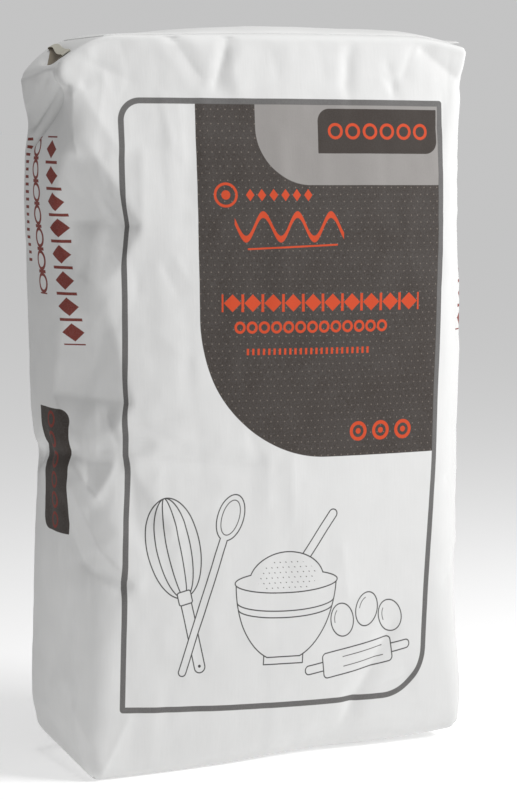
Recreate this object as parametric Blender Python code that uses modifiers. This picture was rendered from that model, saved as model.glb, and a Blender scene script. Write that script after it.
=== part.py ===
"""A filled 20 kg flour sack of white kraft paper, standing on its pasted bottom.

The sack is a block-bottom valve sack. Its paper tube is folded to a flat block at both ends, and
the top left corner holds the filling valve. It is shut, full and solid. Its front faces -Y, its
left side -X, and the origin is on the floor under the middle of its box.

Units are metres, with +Z up.
"""

import bmesh
import bpy
import numpy as np

# Driving sizes of the filled sack
HEIGHT = 0.647              # floor to the front's top fold line
CENTRE = (0.0016, -0.0005)  # moves the uneven sack so that its box is centred on the origin

# Reach of each wall from the middle, as (share of the height, metres)
LEFT_REACH = ((0.0, 0.185), (0.07, 0.190), (0.25, 0.190), (0.40, 0.191), (0.48, 0.194),
              (0.62, 0.195), (0.82, 0.198), (0.93, 0.194), (1.0, 0.199))
RIGHT_REACH = ((0.0, 0.187), (0.07, 0.191), (0.18, 0.188), (0.28, 0.191), (0.45, 0.194),
               (0.60, 0.198), (0.75, 0.193), (0.93, 0.193), (1.0, 0.197))
FRONT_REACH = ((0.0, 0.070), (0.12, 0.074), (0.45, 0.071), (0.75, 0.066), (1.0, 0.055))
BACK_REACH = ((0.0, 0.068), (0.12, 0.074), (0.45, 0.073), (0.75, 0.067), (1.0, 0.052))

# Softness of the folded edges: paper within this distance of an edge turns the corner
CORNER_SOFT = ((0.0, 0.012), (0.10, 0.026), (0.35, 0.046), (0.65, 0.046), (0.88, 0.022),
               (1.0, 0.006))
TOP_RIM_SOFT = 0.005
# The bottom rim is softest where the belly of the front hangs over it, by share of the width
FRONT_BOTTOM_SOFT = ((0.0, 0.007), (0.35, 0.018), (0.62, 0.040), (0.85, 0.026), (1.0, 0.016))
BACK_BOTTOM_SOFT = 0.016
SIDE_BOTTOM_SOFT = 0.010

# Rise of the filled top above the fold line, by share of the width
DOME_RISE = ((0.0, 0.0), (0.08, 0.0), (0.20, 0.0015), (0.34, 0.006), (0.50, 0.009),
             (0.72, 0.008), (0.90, 0.006), (1.0, 0.003))

# Fullness of each face between its edges: how far, and how evenly it is spread up the sack
FRONT_FULL = 0.007
SIDE_FULL = 0.006
FULL_POWER = 2.4
FULL_AT_ENDS = 0.4          # share of it that the faces keep at the rims

# The left part of the front rolls back towards the corner: how far, the place where the roll
# starts and the one where it ends, its power, and the share of it at each share of the height
ROLL_DEPTH = 0.005
ROLL_SPAN = (-0.055, -0.190)
ROLL_POWER = 2.0
ROLL_SHARE = ((0.0, 0.2), (0.12, 0.5), (0.35, 1.0), (0.70, 1.0), (0.88, 0.3), (1.0, 0.0))

# Drop of the top corners, each as (depth, run along the width, power), at the front and the back
LEFT_DROP = ((0.025, 0.050, 2.0), (0.035, 0.062, 2.2))
RIGHT_DROP = ((0.009, 0.060, 1.6), (0.008, 0.060, 1.6))
DROP_REACH = 0.20           # share of the height over which the walls follow the dropped corners

# The front corner of the valve's lip stands out to the left: (how far, share of the height, power)
LIP_FLARE = (0.007, 0.05, 8)

# Lift of the bottom corners off the floor, each as (height, run, power), at the front and the back
LEFT_LIFT = ((0.0, 0.070, 1.6), (0.021, 0.070, 1.6))
RIGHT_LIFT = ((0.009, 0.110, 1.6), (0.004, 0.110, 1.6))
LIFT_REACH = 0.14

# How far from the rims and from the upright corners the folds and dents die away
RIM_FADE = 0.01             # share of half the height
RIM_KEPT = 0.7              # share of the folds that the faces keep at the rims
CORNER_FADE = 0.022
VALLEY_TAPER = (0.35, 0.30)  # a valley's even share each side of its middle, and that of its ends
VALLEY_POWER = 1.6

# Folds and dents of the front, as places (x, z) on it
# A valley runs from its start to its end, with a depth and a half-width
FRONT_VALLEYS = (
    {"start": (-0.104, 0.650), "end": (-0.068, 0.604), "depth": 0.0040, "half_width": 0.015},
    {"start": (-0.044, 0.650), "end": (-0.060, 0.602), "depth": 0.0035, "half_width": 0.013},
    {"start": (-0.195, 0.292), "end": (-0.030, 0.272), "depth": 0.0030, "half_width": 0.016},
    {"start": (-0.190, 0.196), "end": (-0.145, 0.170), "depth": 0.0025, "half_width": 0.014},
    {"start": (0.060, 0.030), "end": (0.110, 0.115), "depth": 0.0030, "half_width": 0.018},
    {"start": (0.075, 0.640), "end": (0.068, 0.600), "depth": 0.0020, "half_width": 0.012},
)
# A dent is round, with a centre, a radius each way and a depth
FRONT_DENTS = (
    {"centre": (-0.168, 0.345), "radii": (0.034, 0.055), "depth": 0.0030},
    {"centre": (0.120, 0.150), "radii": (0.060, 0.070), "depth": 0.0030},
)
# The back carries softer ones, where the sack lay against its neighbours
BACK_VALLEYS = (
    {"start": (-0.150, 0.320), "end": (0.160, 0.300), "depth": 0.0030, "half_width": 0.018},
    {"start": (0.050, 0.650), "end": (0.020, 0.595), "depth": 0.0035, "half_width": 0.014},
    {"start": (-0.120, 0.650), "end": (-0.095, 0.600), "depth": 0.0035, "half_width": 0.014},
)
BACK_DENTS = (
    {"centre": (0.080, 0.450), "radii": (0.070, 0.090), "depth": 0.0045},
    {"centre": (-0.110, 0.170), "radii": (0.070, 0.070), "depth": 0.0040},
)
# Folds of the left side, as places (y, z) on it: the long one is the gusset's slanted fold
LEFT_VALLEYS = (
    {"start": (-0.036, 0.622), "end": (0.032, 0.560), "depth": 0.0050, "half_width": 0.014},
    {"start": (-0.060, 0.290), "end": (0.070, 0.272), "depth": 0.0035, "half_width": 0.015},
)
LEFT_DENTS = (
    {"centre": (0.030, 0.250), "radii": (0.035, 0.045), "depth": 0.0040},
)
RIGHT_VALLEYS = (
    {"start": (0.036, 0.630), "end": (-0.030, 0.565), "depth": 0.0045, "half_width": 0.014},
    {"start": (-0.060, 0.135), "end": (0.060, 0.150), "depth": 0.0030, "half_width": 0.015},
)
RIGHT_DENTS = (
    {"centre": (0.000, 0.400), "radii": (0.040, 0.080), "depth": 0.0030},
)

# Corners of the sack pressed in. What stands out of both flats of a notch is moved in, away from
# where it was pressed (0 is the front, -90 the left side). Each flat runs through the notch's tip
# and valley, and through its top or its foot.
NOTCHES = (
    {"top": (-0.190, -0.0540, 0.562), "tip": (-0.128, -0.0690, 0.483),
     "valley": (-0.180, -0.0400, 0.487), "foot": (-0.1735, -0.0615, 0.428), "from": -50.0},
    {"top": (-0.1735, -0.0612, 0.442), "tip": (-0.136, -0.0720, 0.330),
     "valley": (-0.177, -0.0400, 0.335), "foot": (-0.177, -0.0585, 0.297), "from": -50.0},
)
NOTCH_SOFT = 0.003

# Cage of the sack: cuts across the width, the depth and the height
WIDTH_CUTS = 32
DEPTH_CUTS = 10
HEIGHT_CUTS = 42

# Cover sheet pasted over the top's folds
PAPER_GAP = 0.0007          # clearance between pieces that touch
NORMAL_STEP = 0.004         # share of the top over which its slope is taken
COVER_THICKNESS = 0.0010
COVER_SPAN = (-0.80, 0.97)  # along the width, as shares of the top
COVER_DEPTH = (-0.84, 0.84)
COVER_CELLS = (30, 6)

# Sleeve of brown inner paper in the mouth of the valve
SLEEVE_THICKNESS = 0.0009
SLEEVE_SPAN = (-0.955, -0.855)   # along the width, as shares of the top
SLEEVE_DEPTH = (-0.72, 0.42)     # from front to back, as shares of the top
SLEEVE_FOLD = 0.0006             # gap inside the fold that joins its two lips
SLEEVE_GAPE = 0.0055             # opening between them at the mouth
SLEEVE_CELLS = (6, 8)

PAPER_WHITE = (0.86, 0.86, 0.85)
PAPER_BROWN = (0.55, 0.50, 0.40)


def clear_scene():
    """Remove whatever the file starts with."""
    for item in list(bpy.data.objects):
        bpy.data.objects.remove(item, do_unlink=True)


def through(stations, share):
    """Smooth curve through (share, value) stations, with level ends."""
    places = np.array([place for place, _ in stations])
    values = np.array([value for _, value in stations])
    slopes = np.zeros(len(values))
    slopes[1:-1] = (values[2:] - values[:-2]) / (places[2:] - places[:-2])
    share = np.clip(share, 0.0, 1.0)
    index = np.clip(np.searchsorted(places, share, side="right") - 1, 0, len(places) - 2)
    span = places[index + 1] - places[index]
    step = (share - places[index]) / span
    rise = 3.0 * step ** 2 - 2.0 * step ** 3
    start_pull = step * (1.0 - step) ** 2 * span
    end_pull = -(1.0 - step) * step ** 2 * span
    level = values[index] * (1.0 - rise) + values[index + 1] * rise
    return level + slopes[index] * start_pull + slopes[index + 1] * end_pull


def ease(share):
    """0 to 1 with level ends."""
    share = np.clip(share, 0.0, 1.0)
    return share * share * (3.0 - 2.0 * share)


def turn(distance, soft):
    """How far paper near an edge falls inwards, so that the edge is a soft turn."""
    return np.maximum(soft - distance, 0.0) ** 2 / (4.0 * soft)


def valley_depth(valleys, along, up):
    """Depth of straight folds with tapered ends."""
    depth = np.zeros_like(along)
    for valley in valleys:
        start = np.array(valley["start"])
        line = np.array(valley["end"]) - start
        length = np.hypot(*line)
        line = line / length
        offset_along = (along - start[0]) * line[0] + (up - start[1]) * line[1]
        offset_across = (up - start[1]) * line[0] - (along - start[0]) * line[1]
        from_even = np.maximum(np.abs(offset_along / length - 0.5) - VALLEY_TAPER[0], 0.0)
        taper = ease(1.0 - from_even / VALLEY_TAPER[1])
        across = np.clip(1.0 - np.abs(offset_across) / valley["half_width"], 0.0, 1.0)
        depth += valley["depth"] * taper * across ** VALLEY_POWER
    return depth


def dent_depth(dents, along, up):
    """Depth of round dents."""
    depth = np.zeros_like(along)
    for dent in dents:
        spread = ((along - dent["centre"][0]) / dent["radii"][0]) ** 2
        spread += ((up - dent["centre"][1]) / dent["radii"][1]) ** 2
        depth += dent["depth"] * np.exp(-spread)
    return depth


def corner_run(distance, run, power):
    """1 at a corner, falling to exactly 0 at the run's length from it."""
    return np.clip(1.0 - distance / run, 0.0, 1.0) ** power


def corner_move(corner, distance, to_back):
    """How far a corner is moved, from its own values at the front and the back."""
    (front_far, front_run, front_power), (back_far, back_run, back_power) = corner
    return (front_far * (1.0 - to_back) * corner_run(distance, front_run, front_power)
            + back_far * to_back * corner_run(distance, back_run, back_power))


def pressed(x, y, z):
    """Move what stands out of a notch's flats in onto them."""
    points = np.stack([x, y, z], axis=-1)
    for notch in NOTCHES:
        tip = np.array(notch["tip"])
        valley = np.array(notch["valley"])
        azimuth = np.radians(notch["from"])
        outward = np.array([np.sin(azimuth), -np.cos(azimuth), 0.0])
        depths = []
        for end in (notch["top"], notch["foot"]):
            normal = np.cross(valley - tip, np.array(end) - tip)
            depths.append((points - tip) @ normal / (outward @ normal))
        depth = np.minimum(*depths)
        depth = np.where(depth < NOTCH_SOFT, np.maximum(depth, 0.0) ** 2 / (2.0 * NOTCH_SOFT),
                         depth - NOTCH_SOFT / 2.0)
        points = points - depth[..., None] * outward
    return points[..., 0], points[..., 1], points[..., 2]


def sack_surface(across, deep, high):
    """Place points of the unit cube's skin on the sack.

    across is -1 at the left side and 1 at the right, deep -1 at the front and 1 at the back,
    high -1 at the floor and 1 at the top.
    """
    share = (high + 1.0) / 2.0
    left = through(LEFT_REACH, share)
    right = through(RIGHT_REACH, share)
    front = through(FRONT_REACH, share)
    back = through(BACK_REACH, share)
    reach_x = np.where(across < 0.0, left, right)
    reach_y = np.where(deep < 0.0, front, back)
    x = across * reach_x
    y = deep * reach_y
    z = share * HEIGHT

    # Fold edges: upright corners, and the rims of the top and the bottom
    from_side = reach_x * (1.0 - np.abs(across))
    from_face = reach_y * (1.0 - np.abs(deep))
    from_end = 0.5 * HEIGHT * (1.0 - np.abs(high))
    upright = turn(from_side + from_face, through(CORNER_SOFT, share))
    bottom_soft = np.where(deep < 0.0, through(FRONT_BOTTOM_SOFT, (across + 1.0) / 2.0),
                           BACK_BOTTOM_SOFT)
    rim_soft = np.where(high > 0.0, TOP_RIM_SOFT, bottom_soft)
    side_rim = turn(from_side + from_end, np.where(high > 0.0, TOP_RIM_SOFT, SIDE_BOTTOM_SOFT))
    face_rim = turn(from_face + from_end, rim_soft)
    x = x - np.sign(across) * (upright + side_rim)
    y = y - np.sign(deep) * (upright + face_rim)
    z = z - np.sign(high) * (side_rim + face_rim)

    # Fullness between the edges, and the roll of the front's left part
    middle = 1.0 - np.abs(high) ** FULL_POWER
    full = FRONT_FULL * (FULL_AT_ENDS + (1.0 - FULL_AT_ENDS) * middle) * (1.0 - across ** 2)
    rolled = np.clip((x - ROLL_SPAN[0]) / (ROLL_SPAN[1] - ROLL_SPAN[0]), 0.0, 1.0) ** ROLL_POWER
    roll = ROLL_DEPTH * rolled * through(ROLL_SHARE, share) * np.clip(-deep, 0.0, 1.0)
    y = y + deep * full + roll
    x = x + across * SIDE_FULL * middle * (1.0 - deep ** 2)

    # Folds and dents
    is_face = np.abs(deep) >= 1.0 - 1e-6
    is_side = np.abs(across) >= 1.0 - 1e-6
    folds = np.where(deep < 0.0,
                     valley_depth(FRONT_VALLEYS, x, z) + dent_depth(FRONT_DENTS, x, z),
                     valley_depth(BACK_VALLEYS, x, z) + dent_depth(BACK_DENTS, x, z))
    side_folds = np.where(across < 0.0,
                          valley_depth(LEFT_VALLEYS, y, z) + dent_depth(LEFT_DENTS, y, z),
                          valley_depth(RIGHT_VALLEYS, y, z) + dent_depth(RIGHT_DENTS, y, z))
    at_rim = ease((1.0 - np.abs(high)) / RIM_FADE)
    folds = folds * np.maximum(at_rim, RIM_KEPT) * ease(from_side / CORNER_FADE)
    side_folds = side_folds * at_rim * ease(from_face / CORNER_FADE)
    y = y - np.where(is_face, np.sign(deep) * folds, 0.0)
    x = x - np.where(is_side, np.sign(across) * side_folds, 0.0)

    # Domed top, flared lip, dropped top corners and lifted bottom corners
    dome = through(DOME_RISE, (across + 1.0) / 2.0) * (1.0 - deep ** 2)
    z = z + np.where((high > 0.0) & ~is_face & ~is_side, dome, 0.0)
    to_back = (deep + 1.0) / 2.0
    flare = LIP_FLARE[0] * (1.0 - to_back) * ease((share - 1.0 + LIP_FLARE[1]) / LIP_FLARE[1])
    x = x - flare * np.clip(-across, 0.0, 1.0) ** LIP_FLARE[2]
    from_left = reach_x * (1.0 + across)
    from_right = reach_x * (1.0 - across)
    drop = (corner_move(LEFT_DROP, from_left, to_back)
            + corner_move(RIGHT_DROP, from_right, to_back))
    z = z - drop * ease((share - 1.0 + DROP_REACH) / DROP_REACH)
    lift = (corner_move(LEFT_LIFT, from_left, to_back)
            + corner_move(RIGHT_LIFT, from_right, to_back))
    z = z + lift * ease((LIFT_REACH - share) / LIFT_REACH)
    x, y, z = pressed(x, y, z)
    return x + CENTRE[0], y + CENTRE[1], z


def cut_places(count, tightness):
    """Cuts between -1 and 1, closer together near the ends."""
    even = np.linspace(-1.0, 1.0, count + 1)[1:-1]
    return (1.0 - tightness) * even + tightness * np.sin(even * np.pi / 2.0)


def add_to(collection, name, mesh, material):
    """Wrap a mesh in an object with its material."""
    mesh.materials.append(material)
    piece = bpy.data.objects.new(name, mesh)
    collection.objects.link(piece)
    return piece


def paper(name, colour):
    """Matt paper."""
    material = bpy.data.materials.new(name)
    material.use_nodes = True
    shader = material.node_tree.nodes["Principled BSDF"]
    shader.inputs["Base Color"].default_value = (*colour, 1.0)
    shader.inputs["Roughness"].default_value = 0.65
    shader.inputs["Metallic"].default_value = 0.0
    return material


def make_sack(collection):
    """The filled sack: a cube cut into a cage and laid on the sack's surface."""
    cage = bmesh.new()
    bmesh.ops.create_cube(cage, size=2.0)
    cuts = (((1.0, 0.0, 0.0), cut_places(WIDTH_CUTS, 0.55)),
            ((0.0, 1.0, 0.0), cut_places(DEPTH_CUTS, 0.50)),
            ((0.0, 0.0, 1.0), cut_places(HEIGHT_CUTS, 0.55)))
    for normal, places in cuts:
        for place in places:
            everything = cage.verts[:] + cage.edges[:] + cage.faces[:]
            bmesh.ops.bisect_plane(cage, geom=everything, dist=1e-6,
                                   plane_co=np.array(normal) * place, plane_no=normal)
    points = np.array([vert.co for vert in cage.verts], dtype=float)
    x, y, z = sack_surface(points[:, 0], points[:, 1], points[:, 2])
    for vert, place in zip(cage.verts, zip(x, y, z)):
        vert.co = place
    bmesh.ops.recalc_face_normals(cage, faces=cage.faces[:])
    mesh = bpy.data.meshes.new("sack")
    cage.to_mesh(mesh)
    cage.free()
    mesh.shade_smooth()
    return add_to(collection, "sack", mesh, paper("white_paper", PAPER_WHITE))


def top_normal(across, deep):
    """Outward direction of the sack's top at shares of its width and depth."""
    one = np.ones_like(across)
    ahead = np.stack(sack_surface(across + NORMAL_STEP, deep, one), axis=-1)
    behind = np.stack(sack_surface(across - NORMAL_STEP, deep, one), axis=-1)
    above = np.stack(sack_surface(across, deep + NORMAL_STEP, one), axis=-1)
    below = np.stack(sack_surface(across, deep - NORMAL_STEP, one), axis=-1)
    normal = np.cross(ahead - behind, above - below)
    return normal / np.linalg.norm(normal, axis=-1, keepdims=True)


def sheet_mesh(name, places):
    """A grid of places, one row after another, made a mesh from Blender's grid primitive."""
    rows, columns = places.shape[:2]
    sheet = bmesh.new()
    bmesh.ops.create_grid(sheet, x_segments=rows - 1, y_segments=columns - 1, size=0.5)
    for vert in sheet.verts:
        row = int(round((vert.co.x + 0.5) * (rows - 1)))
        column = int(round((vert.co.y + 0.5) * (columns - 1)))
        vert.co = places[row, column]
    mesh = bpy.data.meshes.new(name)
    sheet.to_mesh(mesh)
    sheet.free()
    return mesh


def thicken(piece, thickness):
    """Give a sheet its thickness, half to each side."""
    solid = piece.modifiers.new("Solidify", "SOLIDIFY")
    solid.thickness = thickness
    solid.offset = 0.0
    solid.use_even_offset = False


def make_top_cover(collection):
    """The sheet pasted over the folds of the top, which follows the dome."""
    across, deep = np.meshgrid(np.linspace(*COVER_SPAN, COVER_CELLS[0] + 1),
                               np.linspace(*COVER_DEPTH, COVER_CELLS[1] + 1), indexing="ij")
    flat = np.stack(sack_surface(across, deep, np.ones_like(across)), axis=-1)
    stand_off = PAPER_GAP + COVER_THICKNESS / 2.0
    places = flat + top_normal(across, deep) * stand_off
    mesh = sheet_mesh("top_cover", places)
    piece = add_to(collection, "top_cover", mesh, paper("cover_paper", PAPER_WHITE))
    thicken(piece, COVER_THICKNESS)
    return piece


def make_valve_sleeve(collection):
    """The brown sleeve in the mouth: a lower lip on the sack, and an upper one that gapes."""
    span_cells, depth_cells = SLEEVE_CELLS
    outward = np.linspace(SLEEVE_SPAN[0], SLEEVE_SPAN[1], span_cells + 1)
    across_row = np.concatenate([outward, outward[::-1][1:]])
    lift_row = np.concatenate([np.zeros(span_cells + 1),
                               np.linspace(0.0, 1.0, span_cells + 1)[1:]])
    across, deep = np.meshgrid(across_row, np.linspace(*SLEEVE_DEPTH, depth_cells + 1),
                               indexing="ij")
    lift = np.repeat(lift_row[:, None], depth_cells + 1, axis=1)
    flat = np.stack(sack_surface(across, deep, np.ones_like(across)), axis=-1)
    stand_off = PAPER_GAP + SLEEVE_THICKNESS / 2.0
    arch = np.sin(np.pi * (deep - SLEEVE_DEPTH[0]) / (SLEEVE_DEPTH[1] - SLEEVE_DEPTH[0]))
    gape = np.where(lift > 0.0, SLEEVE_THICKNESS + SLEEVE_FOLD, 0.0)
    gape = gape + lift ** 1.5 * arch * SLEEVE_GAPE
    places = flat + top_normal(across, deep) * (stand_off + gape)[..., None]
    mesh = sheet_mesh("valve_sleeve", places)
    piece = add_to(collection, "valve_sleeve", mesh, paper("sleeve_paper", PAPER_BROWN))
    thicken(piece, SLEEVE_THICKNESS)
    return piece


def main():
    clear_scene()
    collection = bpy.data.collections.new("flour_sack")
    bpy.context.scene.collection.children.link(collection)
    make_sack(collection)
    make_top_cover(collection)
    make_valve_sleeve(collection)


main()
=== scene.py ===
"""The looks of a filled 20 kg flour sack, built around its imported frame.

The sack, the sheet pasted over its top and the sleeve of its valve are modelled again as fine
meshes of creased paper on the frame's own form. Their print is drawn by shader nodes on a map of
the paper. Units are metres, with +Z up. The front faces -Y and the left side faces -X.
"""

import math

import bpy
import numpy as np
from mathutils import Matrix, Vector


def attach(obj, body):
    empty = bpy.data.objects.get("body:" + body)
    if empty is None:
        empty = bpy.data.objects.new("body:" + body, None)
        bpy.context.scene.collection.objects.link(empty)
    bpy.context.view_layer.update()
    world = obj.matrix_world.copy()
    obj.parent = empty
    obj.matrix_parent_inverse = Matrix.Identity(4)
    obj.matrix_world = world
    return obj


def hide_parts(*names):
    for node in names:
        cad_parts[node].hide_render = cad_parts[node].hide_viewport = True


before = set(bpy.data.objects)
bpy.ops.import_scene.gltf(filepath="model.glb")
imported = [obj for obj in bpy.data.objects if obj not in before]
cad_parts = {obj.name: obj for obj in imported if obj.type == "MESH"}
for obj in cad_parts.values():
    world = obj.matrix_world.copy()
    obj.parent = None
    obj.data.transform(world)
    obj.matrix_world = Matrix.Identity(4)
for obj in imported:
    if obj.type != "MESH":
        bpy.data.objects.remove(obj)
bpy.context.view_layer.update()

# Driving sizes of the filled sack, as the frame has them
HEIGHT = 0.647
CENTRE = (0.0016, -0.0005)
LEFT_REACH = ((0.0, 0.185), (0.07, 0.190), (0.25, 0.190), (0.40, 0.191), (0.48, 0.194),
              (0.62, 0.195), (0.82, 0.198), (0.93, 0.194), (1.0, 0.199))
RIGHT_REACH = ((0.0, 0.187), (0.07, 0.191), (0.18, 0.188), (0.28, 0.191), (0.45, 0.194),
               (0.60, 0.198), (0.75, 0.193), (0.93, 0.193), (1.0, 0.197))
FRONT_REACH = ((0.0, 0.070), (0.12, 0.074), (0.45, 0.071), (0.75, 0.066), (1.0, 0.055))
BACK_REACH = ((0.0, 0.068), (0.12, 0.074), (0.45, 0.073), (0.75, 0.067), (1.0, 0.052))
CORNER_SOFT = ((0.0, 0.012), (0.10, 0.026), (0.35, 0.046), (0.65, 0.046), (0.88, 0.022),
               (1.0, 0.006))
TOP_RIM_SOFT = 0.005
FRONT_BOTTOM_SOFT = ((0.0, 0.007), (0.35, 0.018), (0.62, 0.040), (0.85, 0.026), (1.0, 0.016))
BACK_BOTTOM_SOFT = 0.016
SIDE_BOTTOM_SOFT = 0.010
DOME_RISE = ((0.0, 0.0), (0.08, 0.0), (0.20, 0.0015), (0.34, 0.006), (0.50, 0.009),
             (0.72, 0.008), (0.90, 0.006), (1.0, 0.003))
FRONT_FULL = 0.007
SIDE_FULL = 0.006
FULL_POWER = 2.4
FULL_AT_ENDS = 0.4
ROLL_DEPTH = 0.005
ROLL_SPAN = (-0.055, -0.190)
ROLL_POWER = 2.0
ROLL_SHARE = ((0.0, 0.2), (0.12, 0.5), (0.35, 1.0), (0.70, 1.0), (0.88, 0.3), (1.0, 0.0))
LEFT_DROP = ((0.025, 0.050, 2.0), (0.035, 0.062, 2.2))
RIGHT_DROP = ((0.009, 0.060, 1.6), (0.008, 0.060, 1.6))
DROP_REACH = 0.20
LIP_FLARE = (0.007, 0.05, 8)
LEFT_LIFT = ((0.0, 0.070, 1.6), (0.021, 0.070, 1.6))
RIGHT_LIFT = ((0.009, 0.110, 1.6), (0.004, 0.110, 1.6))
LIFT_REACH = 0.14
RIM_FADE = 0.01
RIM_KEPT = 0.7
CORNER_FADE = 0.022
VALLEY_TAPER = (0.35, 0.30)
VALLEY_POWER = 1.6

# Straight folds of each wall: start, end, depth and half width. Its round dents: centre, radii and
# depth. The places are across the wall and up.
FRONT_VALLEYS = (
    ((-0.104, 0.650), (-0.068, 0.604), 0.0040, 0.015),
    ((-0.044, 0.650), (-0.060, 0.602), 0.0035, 0.013),
    ((-0.195, 0.292), (-0.030, 0.272), 0.0030, 0.016),
    ((-0.190, 0.196), (-0.145, 0.170), 0.0025, 0.014),
    ((0.060, 0.030), (0.110, 0.115), 0.0030, 0.018),
    ((0.075, 0.640), (0.068, 0.600), 0.0020, 0.012),
)
FRONT_DENTS = (
    ((-0.168, 0.345), (0.034, 0.055), 0.0030),
    ((0.120, 0.150), (0.060, 0.070), 0.0030),
)
BACK_VALLEYS = (
    ((-0.150, 0.320), (0.160, 0.300), 0.0030, 0.018),
    ((0.050, 0.650), (0.020, 0.595), 0.0035, 0.014),
    ((-0.120, 0.650), (-0.095, 0.600), 0.0035, 0.014),
)
BACK_DENTS = (
    ((0.080, 0.450), (0.070, 0.090), 0.0045),
    ((-0.110, 0.170), (0.070, 0.070), 0.0040),
)
LEFT_VALLEYS = (
    ((-0.036, 0.622), (0.032, 0.560), 0.0050, 0.014),
    ((-0.060, 0.290), (0.070, 0.272), 0.0035, 0.015),
)
LEFT_DENTS = (
    ((0.030, 0.250), (0.035, 0.045), 0.0040),
)
RIGHT_VALLEYS = (
    ((0.036, 0.630), (-0.030, 0.565), 0.0045, 0.014),
    ((-0.060, 0.135), (0.060, 0.150), 0.0030, 0.015),
)
RIGHT_DENTS = (
    ((0.000, 0.400), (0.040, 0.080), 0.0030),
)

# Corners of the sack pressed in. What stands out of both flats of a notch is moved in, away from
# where it was pressed (0 is the front, -90 the left side). Each flat runs through the notch's tip
# and valley, and through its top or its foot.
NOTCHES = (
    {"top": (-0.190, -0.0540, 0.562), "tip": (-0.128, -0.0690, 0.483),
     "valley": (-0.180, -0.0400, 0.487), "foot": (-0.1735, -0.0615, 0.428), "from": -50.0},
    {"top": (-0.1735, -0.0612, 0.442), "tip": (-0.136, -0.0720, 0.330),
     "valley": (-0.177, -0.0400, 0.335), "foot": (-0.177, -0.0585, 0.297), "from": -50.0},
)
NOTCH_SOFT = 0.003

# Pieces on the top, as shares of its width and depth
NORMAL_STEP = 0.004
COVER_SPAN = (-0.80, 0.97)
COVER_DEPTH = (-0.84, 0.84)
SLEEVE_DEPTH = (-0.86, 0.72)

# Fine cage of the sack: cells across the width, the depth and the height
SACK_CELLS = (140, 48, 220)

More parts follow.
